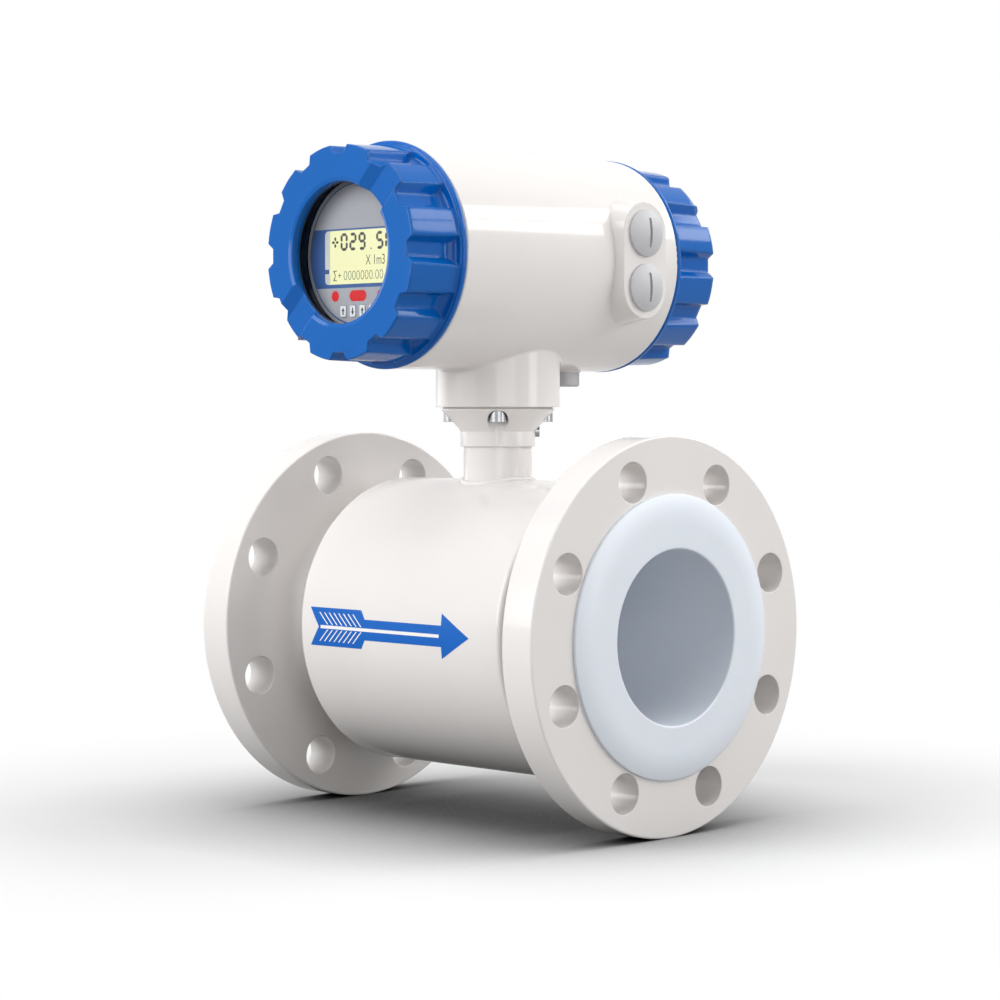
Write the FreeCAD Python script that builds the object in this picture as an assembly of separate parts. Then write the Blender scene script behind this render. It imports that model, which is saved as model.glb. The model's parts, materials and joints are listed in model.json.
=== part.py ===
import FreeCAD, Part
import math
import os

# Electromagnetic flow meter, DN 100, with a compact converter on a neck.
# Origin: centre of the flow bore, half-way between the flange faces.
# +X is the direction of flow, +Z points up the neck, and the display looks along -Y.
# All sizes are in millimetres.

Vector = FreeCAD.Vector

# Measuring tube, liner and flanges
bore_diameter = 98.7
liner_wall = 3.5
tube_wall = 4.3
flange_diameter = 225.0
flange_thickness = 22.0
flange_span = 273.0
flange_edge = 1.2
flange_root_radius = 9.5
bolt_circle = 185.0
bolt_count = 8
bolt_hole_diameter = 23.0
bolt_turn = 2.2
flare_diameter = 160.0
flare_thickness = 4.75
flare_flat_diameter = 130.0
flare_rim_thickness = 1.75
flare_rounding = 1.0

# Coil housing
drum_diameter = 171.2
drum_wall = 4.0
drum_length = 165.2
drum_offset = 3.2
drum_edge = 2.5
drum_end_thickness = 5.0

# Magnet
shoe_thickness = 2.5
shoe_length = 92.0
shoe_width = 84.0
coil_height = 15.0
coil_winding = 17.0
core_length = 46.0
core_width = 34.0
shoe_corner = 6.0
core_corner = 4.0
coil_corner = 14.0
coil_window_corner = 3.0
yoke_thickness = 3.5
yoke_width = 56.0
magnet_fit = 0.25
yoke_cable_clearance = 2.0

# Electrodes
electrode_head_diameter = 11.0
electrode_head_thickness = 1.4
electrode_stem_diameter = 5.0
electrode_stem_reach = 14.0
bush_diameter = 10.0
bush_collar_diameter = 15.0
bush_collar_thickness = 3.0
electrode_nut_flats = 8.0
electrode_nut_height = 4.0
electrode_fit = 0.05

# Neck
neck_pipe_diameter = 40.5
neck_pipe_wall = 3.25
collar_diameter = 44.5
collar_base_height = 105.1
collar_length = 8.9
cone_diameter = 67.0
cone_length = 12.4
cone_rim_thickness = 1.0
neck_socket_depth = 6.0
neck_bore_diameter = 26.0
neck_screw_circle = 55.0
neck_screw_count = 4
neck_screw_diameter = 6.0
neck_screw_head_diameter = 10.0
neck_screw_head_height = 6.6
neck_screw_length = 17.0
neck_screw_first_angle = 45.0
neck_screw_seat_drop = 0.2
neck_screw_socket_flats = 5.0
neck_screw_socket_depth = 3.0
neck_pocket_diameter = 12.0
neck_gasket_thickness = 0.9
neck_gasket_diameter = 65.0
lock_screw_diameter = 4.0
lock_screw_head_diameter = 6.6
lock_screw_head_height = 3.2
screw_fit = 0.1
tap_run_out = 1.0

# Converter housing
housing_height = 214.6
housing_diameter = 129.2
housing_length = 176.0
housing_wall = 6.2
housing_edge = 1.0
neck_boss_diameter = 73.5
neck_boss_fillet = 2.0
partition_position = 18.0
partition_thickness = 8.0
mouth_diameter = 108.4
mouth_depth = 16.0
seal_seat_diameter = 114.4
seal_seat_depth = 3.3
wire_hole_diameter = 12.0
wire_hole_rise = 30.0

# Cable entries on the side of the housing
entry_pitch = 32.0
entry_position = 52.0
entry_boss_rise = 5.8
entry_boss_radius = 18.3
entry_boss_draft = 3.7
entry_boss_depth = 20.0
entry_boss_edge = 1.0
entry_diameter = 20.0
plug_head_diameter = 27.8
plug_head_thickness = 2.4
plug_dome = 1.3
plug_slot_length = 17.0
plug_slot_width = 2.0
plug_slot_depth = 1.8
plug_shank_length = 14.0
plug_seal_thickness = 0.8
plug_seal_diameter = 26.6

# Earth terminal under the housing
earth_position = 60.0
earth_pad_diameter = 16.0
earth_pad_drop = 0.6
earth_head_diameter = 14.2
earth_head_height = 8.7
earth_head_rounding = 1.6
earth_stem_diameter = 6.0
earth_stem_length = 5.0

# Screw covers, front and rear
cover_gap = 0.3
cover_ring_diameter = 129.6
cover_ring_thickness = 3.0
cover_ring_edge = 1.2
cover_foot_rounding = 2.0
cover_body_diameter = 121.0
cover_body_taper = 1.0
cover_reach = 38.0
cover_face_edge = 0.6
cover_cavity_diameter = 100.0
cover_spigot_length = 14.0
cover_end_thickness = 8.0
thread_clearance = 0.25
flute_count = 12
flute_depth = 5.0
flute_mouth_angle = 15.0
flute_floor_angle = 8.4
flute_run_out_radius = 6.0
flute_end_step = 0.4
channel_angle = 45.0
channel_depth = 4.2
channel_floor_width = 15.6
channel_floor_offset = 0.5
channel_steep_slope = 2.0
channel_gentle_slope = 6.5
cover_seal_section = 3.0
cover_seal_gap = 0.1

# Window in the front cover
window_diameter = 79.6
window_lip = 5.8
window_rounding = 0.8
window_dish_width = 1.6
window_dish_depth = 0.45
glass_seat_diameter = 94.0
glass_diameter = 93.0
glass_thickness = 4.0
window_gasket_thickness = 1.0
retainer_thickness = 7.5
retainer_bore_diameter = 86.4

# Display stack
fascia_diameter = 85.0
fascia_thickness = 1.5
fascia_setback = 15.0
lens_width = 54.4
lens_height = 30.3
lens_drop = 1.7
lens_corner = 2.5
lens_lift = 0.4
key_count = 4
key_width = 4.6
key_height = 6.4
key_pitch = 8.0
key_drop = 32.2
key_lift = 0.5
key_length = 3.5
key_gap = 0.3
key_corner = 0.8
window_drop = 23.6
window_height = 6.2
long_window_width = 14.0
window_pitch = 19.0
tray_diameter = 84.0
tray_depth = 11.0
tray_wall = 2.0
tray_floor = 2.0
lcd_width = 62.0
lcd_height = 34.0
lcd_thickness = 4.0
board_thickness = 1.6
display_board_diameter = 76.0
pillar_count = 4
pillar_diameter = 6.0
pillar_inset = 6.0
pillar_first_angle = 45.0

# Electronics in the housing
board_diameter = 96.0
power_board_position = -12.0
main_board_position = -46.0
standoff_circle = 62.0
standoff_count = 3
standoff_diameter = 6.0
transformer_size = (34.0, 22.0, 28.0)
transformer_rise = 4.0
capacitor_diameter = 12.0
capacitor_length = 20.0
capacitor_pitch = 15.0
capacitor_drop = 22.0
shield_size = (36.0, 6.0, 30.0)
cable_diameter = 8.0
cable_connector_size = (16.0, 8.0, 12.0)
cable_connector_rise = 10.0
terminal_count = 8
terminal_pitch = 8.5
terminal_block_depth = 14.0
terminal_block_height = 22.0
terminal_screw_diameter = 4.0
terminal_screw_length = 4.5
terminal_screw_recess = 1.5
terminal_block_margin = 2.0
terminal_row_pitch = 12.0

# How far a cutting shape runs past the face it opens
overshoot = 2.0

# Sizes that follow from the ones above
bore_radius = bore_diameter / 2
liner_radius = bore_radius + liner_wall
tube_radius = liner_radius + tube_wall
span_half = flange_span / 2
drum_radius = drum_diameter / 2
drum_inner_radius = drum_radius - drum_wall
shoe_radius = tube_radius + magnet_fit
coil_base_radius = shoe_radius + shoe_thickness
core_top_radius = coil_base_radius + coil_height
yoke_inner_radius = core_top_radius + magnet_fit
yoke_outer_radius = yoke_inner_radius + yoke_thickness
pipe_radius = neck_pipe_diameter / 2
pipe_inner_radius = pipe_radius - neck_pipe_wall
cone_base_height = collar_base_height + collar_length
cone_rim_height = cone_base_height + cone_length
cone_top_height = cone_rim_height + cone_rim_thickness
boss_base_height = cone_top_height + neck_gasket_thickness
housing_radius = housing_diameter / 2
chamber_radius = housing_radius - housing_wall
entry_boss_face = housing_radius + entry_boss_rise
mouth_radius = mouth_diameter / 2
housing_half = housing_length / 2
housing_centre = Vector(0, 0, housing_height)
spigot_radius = mouth_radius - thread_clearance
cover_start = housing_half + cover_gap
cover_face = cover_start + cover_reach
partition_end = partition_position + partition_thickness
fascia_front = cover_face - fascia_setback
fascia_back = fascia_front - fascia_thickness

AXES = {
    "X": (Vector(1, 0, 0), Vector(0, 0, 1)),
    "Y": (Vector(0, 1, 0), Vector(1, 0, 0)),
    "-Y": (Vector(0, -1, 0), Vector(1, 0, 0)),
    "Z": (Vector(0, 0, 1), Vector(1, 0, 0)),
}
FRONT = "-Y"
REAR = "Y"


def turned(profile, axis, centre=Vector(0, 0, 0)):
    # Full revolution of a closed outline of (distance along the axis, radius) points.
    along, outward = AXES[axis]
    corners = [centre + along * step + outward * radius for step, radius in profile]
    face = Part.Face(Part.makePolygon(corners + corners[:1]))
    return face.revolve(centre, along, 360)


def ring(inner, outer, start, end, axis, centre=Vector(0, 0, 0)):
    return turned([(start, inner), (end, inner), (end, outer), (start, outer)], axis, centre)


def rod(radius, start, end, axis, centre=Vector(0, 0, 0)):
    along = AXES[axis][0]
    return Part.makeCylinder(radius, end - start, centre + along * start, along)


def rims(shape, radius, step, axis, centre=Vector(0, 0, 0)):
    # Circular edges of one radius in one plane square to the axis.
    middle = centre + AXES[axis][0] * step
    found = []
    for edge in shape.Edges:
        curve = edge.Curve
        if not isinstance(curve, Part.Circle):
            continue
        if abs(curve.Radius - radius) < 0.01 and (curve.Center - middle).Length < 0.01:
            found.append(edge)
    return found


def softened(shape, size, *places):
    # Fillet on the circular edges named as (radius, step, axis, centre).
    edges = []
    for place in places:
        edges.extend(rims(shape, *place))
    return shape.makeFillet(size, edges)


def around(shape, angle, axis, centre=Vector(0, 0, 0)):
    return shape.rotated(centre, AXES[axis][0], angle)


def repeated(shape, count, first_angle, axis, centre=Vector(0, 0, 0)):
    step = 360.0 / count
    return [around(shape, first_angle + step * index, axis, centre) for index in range(count)]


def block(size, middle):
    # Box of (X, Y, Z) size about its middle.
    corner = middle - Vector(size[0] / 2, size[1] / 2, size[2] / 2)
    return Part.makeBox(size[0], size[1], size[2], corner)


def rounded_block(size, middle, corner, axis):
    # Box whose four edges parallel to one axis are rounded.
    body = block(size, middle)
    along = AXES[axis][0]
    edges = []
    for edge in body.Edges:
        run = edge.Vertexes[1].Point - edge.Vertexes[0].Point
        if run.cross(along).Length < 0.001:
            edges.append(edge)
    return body.makeFillet(corner, edges)


def hexagon(flats, start, end, axis, centre=Vector(0, 0, 0)):
    along, outward = AXES[axis]
    corner = outward * (flats / math.sqrt(3))
    base = centre + along * start
    turn = FreeCAD.Rotation
    corners = [base + turn(along, 60 * index).multVec(corner) for index in range(6)]
    face = Part.Face(Part.makePolygon(corners + corners[:1]))
    return face.extrude(along * (end - start))


def group(solids):
    return Part.makeCompound(solids)


def arc_drop(run, drop, reach):
    # Fall of an arc, level where it starts and down by drop at run, at a given reach.
    radius = (run * run + drop * drop) / (2 * drop)
    return radius - math.sqrt(radius * radius - reach * reach)


# Measuring section

def measuring_tube():
    tube = ring(liner_radius, tube_radius, -span_half, span_half, "X")
    return tube.cut(rod(bush_diameter / 2 + electrode_fit, -drum_radius, drum_radius, "Y"))


def liner():
    end = span_half + flare_thickness
    body = ring(bore_radius, liner_radius, -span_half, span_half, "X")
    body = body.fuse([liner_flare(1), liner_flare(-1)]).removeSplitter()
    body = softened(body, flare_rounding, (bore_radius, end, "X"), (bore_radius, -end, "X"))
    return body.cut(electrode_clearance())


def liner_flare(side):
    # Face of the liner turned out over the flange: flat by the bore, then crowned down to a thin rim.
    seat = side * span_half
    rim = side * (span_half + flare_rim_thickness)
    end = side * (span_half + flare_thickness)
    flat = flare_flat_diameter / 2
    outer = flare_diameter / 2
    run = outer - flat
    drop = arc_drop(run, flare_thickness - flare_rim_thickness, run / 2)
    crown = Vector(end - side * drop, 0, flat + run / 2)
    edges = [
        Part.makeLine(Vector(seat, 0, bore_radius), Vector(end, 0, bore_radius)),
        Part.makeLine(Vector(end, 0, bore_radius), Vector(end, 0, flat)),
        Part.Arc(Vector(end, 0, flat), crown, Vector(rim, 0, outer)).toShape(),
        Part.makeLine(Vector(rim, 0, outer), Vector(seat, 0, outer)),
        Part.makeLine(Vector(seat, 0, outer), Vector(seat, 0, bore_radius)),
    ]
    return Part.Face(Part.Wire(edges)).revolve(Vector(0, 0, 0), Vector(1, 0, 0), 360)


def electrode_clearance():
    stem = rod(bush_diameter / 2 + electrode_fit, -tube_radius, tube_radius, "Y")
    head = electrode_head_diameter / 2 + electrode_fit
    reach = bore_radius + electrode_head_thickness + electrode_fit
    return stem.fuse(rod(head, -reach, reach, "Y"))


def flange(side):
    # Slip-on flange welded to the tube behind, with its bolt holes astride the centre lines.
    face = side * span_half
    back = face - side * flange_thickness
    outer = flange_diameter / 2
    root = back - side * flange_root_radius
    body = ring(tube_radius, outer, min(face, back), max(face, back), "X")
    body = softened(body, flange_edge, (outer, face, "X"), (outer, back, "X"))
    body = body.fuse(flange_root(back, root)).removeSplitter()
    hole = rod(bolt_hole_diameter / 2, -flange_span, flange_span, "X", Vector(0, 0, bolt_circle / 2))
    holes = repeated(hole, bolt_count, 180.0 / bolt_count - bolt_turn, "X")
    return body.cut(group(holes))


def flange_root(back, root):
    # Hollow-rounded weld neck between the flange's back and the tube.
    outer = tube_radius + flange_root_radius
    middle = flange_root_radius * (1 - math.sqrt(0.5))
    along = (root - back) / flange_root_radius
    corners = [Vector(back, 0, tube_radius), Vector(root, 0, tube_radius), Vector(back, 0, outer)]
    waist = Vector(back + along * middle, 0, tube_radius + middle)
    edges = [
        Part.makeLine(corners[0], corners[1]),
        Part.Arc(corners[1], waist, corners[2]).toShape(),
        Part.makeLine(corners[2], corners[0]),
    ]
    return Part.Face(Part.Wire(edges)).revolve(Vector(0, 0, 0), Vector(1, 0, 0), 360)


def coil_housing_shell():
    start, end = drum_end(-1), drum_end(1)
    shell = ring(drum_inner_radius, drum_radius, start, end, "X")
    shell = softened(shell, drum_edge, (drum_radius, start, "X"), (drum_radius, end, "X"))
    return shell.cut(rod(pipe_inner_radius, 0, drum_diameter, "Z"))


def coil_housing_end(side):
    outer = drum_end(side)
    inner = outer - side * drum_end_thickness
    return ring(tube_radius, drum_inner_radius, min(inner, outer), max(inner, outer), "X")


def drum_end(side):
    return drum_offset + side * drum_length / 2


# Magnet

def saddle(length, width, corner, inner, outer, side):
    # Part of a cylindrical shell about X that lies inside a rounded rectangle seen from above.
    shell = ring(inner, outer, -length / 2, length / 2, "X")
    middle = Vector(0, 0, side * drum_radius / 2)
    return shell.common(rounded_block((length, width, drum_radius), middle, corner, "Z"))


def pole_piece(side):
    shoe = saddle(shoe_length, shoe_width, shoe_corner, shoe_radius, coil_base_radius, side)
    core = saddle(core_length, core_width, core_corner, coil_base_radius, core_top_radius, side)
    return shoe.fuse(core).removeSplitter()


def coil(side):
    inner_length = core_length + 2 * magnet_fit
    inner_width = core_width + 2 * magnet_fit
    base = coil_base_radius + magnet_fit
    outer_length = inner_length + 2 * coil_winding
    outer_width = inner_width + 2 * coil_winding
    winding = saddle(outer_length, outer_width, coil_corner, base, core_top_radius, side)
    middle = Vector(0, 0, side * drum_radius / 2)
    opening = rounded_block((inner_length, inner_width, drum_diameter), middle, coil_window_corner, "Z")
    return winding.cut(opening)


def magnet_yoke():
    half = yoke_width / 2
    band = ring(yoke_inner_radius, yoke_outer_radius, -half, half, "X")
    return band.cut(rod(cable_diameter / 2 + yoke_cable_clearance, 0, drum_diameter, "Z", Vector(0, -cable_offset(), 0)))


# Electrodes

def electrode(side):
    head_end = bore_radius + electrode_head_thickness
    stem_end = tube_radius + electrode_stem_reach
    axis = FRONT if side < 0 else REAR
    head = rod(electrode_head_diameter / 2, bore_radius - overshoot, head_end, axis)
    stem = rod(electrode_stem_diameter / 2, bore_radius, stem_end, axis)
    wetted = rod(bore_radius, -flange_span, flange_span, "X")
    return head.fuse(stem).cut(wetted).removeSplitter()


def electrode_bush(side):
    start = bore_radius + electrode_head_thickness + electrode_fit
    collar_start = tube_radius
    collar_end = collar_start + bush_collar_thickness
    axis = FRONT if side < 0 else REAR
    bush = rod(bush_diameter / 2, start, collar_end, axis)
    collar = rod(bush_collar_diameter / 2, collar_start - overshoot, collar_end, axis)
    collar = collar.cut(rod(tube_radius, -flange_span, flange_span, "X"))
    body = bush.fuse(collar).removeSplitter()
    return body.cut(rod(electrode_stem_diameter / 2 + electrode_fit, 0, drum_radius, axis))


def electrode_nut(side):
    start = tube_radius + bush_collar_thickness
    axis = FRONT if side < 0 else REAR
    nut = hexagon(electrode_nut_flats, start, start + electrode_nut_height, axis)
    return nut.cut(rod(electrode_stem_diameter / 2 + electrode_fit, 0, drum_radius, axis))


# Neck

def neck_pipe():
    top = collar_base_height + neck_socket_depth
    pipe = ring(pipe_inner_radius, pipe_radius, drum_radius / 2, top, "Z")
    return pipe.cut(rod(drum_radius, -drum_length, drum_length, "X"))


def neck_adapter():
    collar = collar_diameter / 2
    cone = cone_diameter / 2
    socket = pipe_radius + screw_fit
    socket_top = collar_base_height + neck_socket_depth
    bore = neck_bore_diameter / 2
    outline = [
        (collar_base_height, socket),
        (collar_base_height, collar),
        (cone_base_height, collar),
        (cone_rim_height, cone),
        (cone_top_height, cone),
        (cone_top_height, bore),
        (socket_top, bore),
        (socket_top, socket),
    ]
    body = turned(outline, "Z")
    offset = Vector(neck_screw_circle / 2, 0, 0)
    pocket = rod(neck_pocket_diameter / 2, collar_base_height - overshoot, neck_screw_seat(), "Z", offset)
    hole = rod(neck_screw_diameter / 2 + screw_fit, collar_base_height, cone_top_height + overshoot, "Z", offset)
    cuts = repeated(pocket.fuse(hole), neck_screw_count, neck_screw_first_angle, "Z")
    return body.cut(group(cuts)).cut(lock_screw_hole())


def neck_screw_seat():
    return cone_rim_height - neck_screw_seat_drop


def neck_screws():
    seat = neck_screw_seat()
    offset = Vector(neck_screw_circle / 2, 0, 0)
    foot = seat - neck_screw_head_height
    head = rod(neck_screw_head_diameter / 2, foot, seat, "Z", offset)
    socket = hexagon(neck_screw_socket_flats, foot, foot + neck_screw_socket_depth, "Z", offset)
    shank = rod(neck_screw_diameter / 2, seat, seat + neck_screw_length, "Z", offset)
    screw = head.cut(socket).fuse(shank).removeSplitter()
    return group(repeated(screw, neck_screw_count, neck_screw_first_angle, "Z"))


def neck_gasket():
    body = ring(neck_bore_diameter / 2, neck_gasket_diameter / 2, cone_top_height, boss_base_height, "Z")
    offset = Vector(neck_screw_circle / 2, 0, 0)
    hole = rod(neck_screw_diameter / 2 + screw_fit, 0, housing_height, "Z", offset)
    return body.cut(group(repeated(hole, neck_screw_count, neck_screw_first_angle, "Z")))


def lock_screw_seat():
    # The lock screw sits in the foot of one screw pocket, where it grips the neck pipe.
    return neck_screw_circle / 2 - neck_pocket_diameter / 2 - screw_fit


def lock_screw_hole():
    height = Vector(0, 0, cone_base_height)
    hole = rod(lock_screw_diameter / 2 + screw_fit, pipe_radius, cone_diameter, "X", height)
    seat = rod(lock_screw_head_diameter / 2 + screw_fit, lock_screw_seat(), cone_diameter / 2, "X", height)
    return around(hole.fuse(seat), neck_screw_first_angle, "Z")


def neck_lock_screw():
    height = Vector(0, 0, cone_base_height)
    seat = lock_screw_seat()
    shank = rod(lock_screw_diameter / 2, pipe_radius + screw_fit, seat, "X", height)
    head = rod(lock_screw_head_diameter / 2, seat, seat + lock_screw_head_height, "X", height)
    return around(shank.fuse(head).removeSplitter(), neck_screw_first_angle, "Z")


# Converter housing

def stadium(radius, pitch, step, position):
    # Upright slot outline in a plane square to X.
    top = housing_height + pitch / 2
    low = housing_height - pitch / 2
    upper = Part.Arc(
        Vector(step, position - radius, top),
        Vector(step, position, top + radius),
        Vector(step, position + radius, top),
    )
    lower = Part.Arc(
        Vector(step, position + radius, low),
        Vector(step, position, low - radius),
        Vector(step, position - radius, low),
    )
    right = Part.LineSegment(Vector(step, position + radius, top), Vector(step, position + radius, low))
    left = Part.LineSegment(Vector(step, position - radius, low), Vector(step, position - radius, top))
    return Part.Wire([upper.toShape(), right.toShape(), lower.toShape(), left.toShape()])


def entry_boss():
    root = entry_boss_face - entry_boss_depth
    outer = stadium(entry_boss_radius, entry_pitch, entry_boss_face, entry_position)
    inner = stadium(entry_boss_radius + entry_boss_draft, entry_pitch, root, entry_position)
    return Part.makeLoft([inner, outer], True, True)


def entry_centre(level):
    return Vector(0, entry_position, housing_height + level * entry_pitch / 2)


def earth_centre():
    return Vector(0, earth_position, 0)


def earth_seat_height():
    return housing_height - housing_radius - earth_pad_drop


def housing_chambers():
    inner = housing_half - mouth_depth
    front = ring(0, chamber_radius, -inner, partition_position, "Y", housing_centre)
    rear = ring(0, chamber_radius, partition_end, inner, "Y", housing_centre)
    mouths = [
        rod(mouth_radius, inner - overshoot, housing_half + overshoot, side, housing_centre)
        for side in (FRONT, REAR)
    ]
    seats = [
        rod(seal_seat_diameter / 2, housing_half - seal_seat_depth, housing_half + overshoot, side, housing_centre)
        for side in (FRONT, REAR)
    ]
    wire_centre = housing_centre + Vector(0, 0, wire_hole_rise)
    wires = rod(wire_hole_diameter / 2, 0, partition_end + overshoot, "Y", wire_centre)
    return group([front, rear, wires] + mouths + seats)


def converter_housing():
    barrel = rod(housing_radius, -housing_half, housing_half, "Y", housing_centre)
    barrel = softened(
        barrel,
        housing_edge,
        (housing_radius, housing_half, "Y", housing_centre),
        (housing_radius, -housing_half, "Y", housing_centre),
    )
    neck = rod(neck_boss_diameter / 2, boss_base_height, housing_height, "Z")
    earth_pad = rod(earth_pad_diameter / 2, earth_seat_height(), housing_height, "Z", earth_centre())
    body = barrel.fuse([neck, entry_boss(), earth_pad]).removeSplitter()
    body = body.makeFillet(neck_boss_fillet, boss_root_edges(body))
    body = body.cut(housing_chambers())
    body = body.cut(rod(neck_bore_diameter / 2, 0, housing_height, "Z"))
    screw_top = neck_screw_seat() + neck_screw_length + tap_run_out
    tapped = rod(neck_screw_diameter / 2 + screw_fit, 0, screw_top, "Z", Vector(neck_screw_circle / 2, 0, 0))
    body = body.cut(group(repeated(tapped, neck_screw_count, neck_screw_first_angle, "Z")))
    for level in (-1, 1):
        hole = rod(entry_diameter / 2, 0, entry_boss_face + overshoot, "X", entry_centre(level))
        body = body.cut(hole)
    earth_hole = rod(earth_stem_diameter / 2 + screw_fit, 0, housing_height, "Z", earth_centre())
    return body.cut(earth_hole)


def boss_root_edges(body):
    # Edges where the upright neck boss runs into the barrel.
    found = []
    for edge in body.Edges:
        if isinstance(edge.Curve, (Part.Line, Part.Circle)):
            continue
        box = edge.BoundBox
        near_neck = box.XMax < neck_boss_diameter / 2 + 0.1 and box.XMin > -neck_boss_diameter / 2 - 0.1
        central = abs(box.YMax) < neck_boss_diameter / 2 + 0.1 and abs(box.YMin) < neck_boss_diameter / 2 + 0.1
        if near_neck and central and box.ZMax < housing_height:
            found.append(edge)
    return found


def conduit_plug(level):
    centre = entry_centre(level)
    seat = entry_boss_face + plug_seal_thickness
    edge = seat + plug_head_thickness - plug_dome
    top = seat + plug_head_thickness
    head = plug_head_diameter / 2
    along, outward = AXES["X"]
    corner = [centre + along * step + outward * radius for step, radius in ((seat, 0), (seat, head), (edge, head))]
    crown = centre + along * top
    dome_mid = centre + along * (top - arc_drop(head, plug_dome, head / 2)) + outward * (head / 2)
    edges = [
        Part.makeLine(corner[0], corner[1]),
        Part.makeLine(corner[1], corner[2]),
        Part.Arc(corner[2], dome_mid, crown).toShape(),
        Part.makeLine(crown, corner[0]),
    ]
    cap = Part.Face(Part.Wire(edges)).revolve(centre, along, 360)
    slot_middle = centre + along * (top - plug_slot_depth / 2 + overshoot / 2)
    slot = block((plug_slot_depth + overshoot, plug_slot_width, plug_slot_length), slot_middle)
    shank_radius = entry_diameter / 2 - screw_fit
    shank = rod(shank_radius, seat - plug_shank_length, seat, "X", centre)
    return cap.cut(slot).fuse(shank).removeSplitter()


def plug_seals():
    seals = [
        ring(
            entry_diameter / 2,
            plug_seal_diameter / 2,
            entry_boss_face,
            entry_boss_face + plug_seal_thickness,
            "X",
            entry_centre(level),
        )
        for level in (-1, 1)
    ]
    return group(seals)


def earth_terminal():
    seat = earth_seat_height()
    head = rod(earth_head_diameter / 2, seat - earth_head_height, seat, "Z", earth_centre())
    place = (earth_head_diameter / 2, seat - earth_head_height, "Z", earth_centre())
    head = softened(head, earth_head_rounding, place)
    stem = rod(earth_stem_diameter / 2, seat, seat + earth_stem_length, "Z", earth_centre())
    return head.fuse(stem).removeSplitter()


# Screw covers

def cover_flute():
    # One trapezoid flute on the +X side, whose floor curves out in front of the ring.
    end = cover_start + cover_ring_thickness + flute_end_step
    floor = cover_body_diameter / 2 - flute_depth
    mouth = cover_ring_diameter / 2 + overshoot
    widen = (mouth - floor) / flute_depth
    floor_half = floor * math.sin(math.radians(flute_floor_angle / 2))
    tip_half = cover_body_diameter / 2 * math.sin(math.radians(flute_mouth_angle / 2))
    mouth_half = floor_half + (tip_half - floor_half) * widen
    section = [(floor, -floor_half), (mouth, -mouth_half), (mouth, mouth_half), (floor, floor_half)]
    front = cover_face + overshoot
    corners = [housing_centre + Vector(x, -front, z) for x, z in section]
    prism = Part.Face(Part.makePolygon(corners + corners[:1])).extrude(Vector(0, front - end, 0))
    return prism.common(flute_side(floor, mouth, front, end, mouth_half + overshoot))


def flute_side(floor, mouth, front, end, half):
    # Side view of a flute: straight floor, then a quarter round up to its end.
    radius = flute_run_out_radius
    low = housing_centre + Vector(0, 0, -half)
    waist = radius * math.sqrt(0.5)
    turn = Vector(floor + radius - waist, -end - radius + waist, 0)
    edges = [
        Part.makeLine(low + Vector(floor, -front, 0), low + Vector(floor, -end - radius, 0)),
        Part.Arc(
            low + Vector(floor, -end - radius, 0),
            low + turn,
            low + Vector(floor + radius, -end, 0),
        ).toShape(),
        Part.makeLine(low + Vector(floor + radius, -end, 0), low + Vector(mouth, -end, 0)),
        Part.makeLine(low + Vector(mouth, -end, 0), low + Vector(mouth, -front, 0)),
        Part.makeLine(low + Vector(mouth, -front, 0), low + Vector(floor, -front, 0)),
    ]
    return Part.Face(Part.Wire(edges)).extrude(Vector(0, 0, 2 * half))


def cover_channel():
    # Shallow channel straight across the end face, with one steep and one gentle side.
    low = cover_face - channel_depth
    steep = channel_floor_offset - channel_floor_width / 2
    gentle = channel_floor_offset + channel_floor_width / 2
    high = low + 2 * channel_depth
    section = [
        (steep, -low),
        (steep - 2 * channel_steep_slope, -high),
        (gentle + 2 * channel_gentle_slope, -high),
        (gentle, -low),
    ]
    reach = cover_ring_diameter
    corners = [housing_centre + Vector(-reach, y, z) for z, y in section]
    channel = Part.Face(Part.makePolygon(corners + corners[:1])).extrude(Vector(2 * reach, 0, 0))
    return around(channel, channel_angle, FRONT, housing_centre)


def cover_blank(end_inner):
    # Turned form of both covers, from the ring at the housing to the end face.
    ring_end = cover_start + cover_ring_thickness
    body = cover_body_diameter / 2
    cavity = cover_cavity_diameter / 2
    outline = [
        (cover_start - cover_spigot_length, cavity),
        (cover_start - cover_spigot_length, spigot_radius),
        (cover_start, spigot_radius),
        (cover_start, cover_ring_diameter / 2),
        (ring_end, cover_ring_diameter / 2),
        (ring_end, body + cover_body_taper),
        (cover_face, body),
        (cover_face, 0),
        (end_inner, 0),
        (end_inner, cavity),
    ]
    blank = turned(outline, FRONT, housing_centre)
    ring_radius = cover_ring_diameter / 2
    blank = softened(
        blank,
        cover_ring_edge,
        (ring_radius, cover_start, FRONT, housing_centre),
        (ring_radius, ring_end, FRONT, housing_centre),
    )
    blank = softened(blank, cover_foot_rounding, (body + cover_body_taper, ring_end, FRONT, housing_centre))
    return softened(blank, cover_face_edge, (body, cover_face, FRONT, housing_centre))


def fluted(blank):
    cuts = repeated(cover_flute(), flute_count, 0.0, FRONT, housing_centre)
    return blank.cut(group(cuts)).cut(cover_channel())


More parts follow.
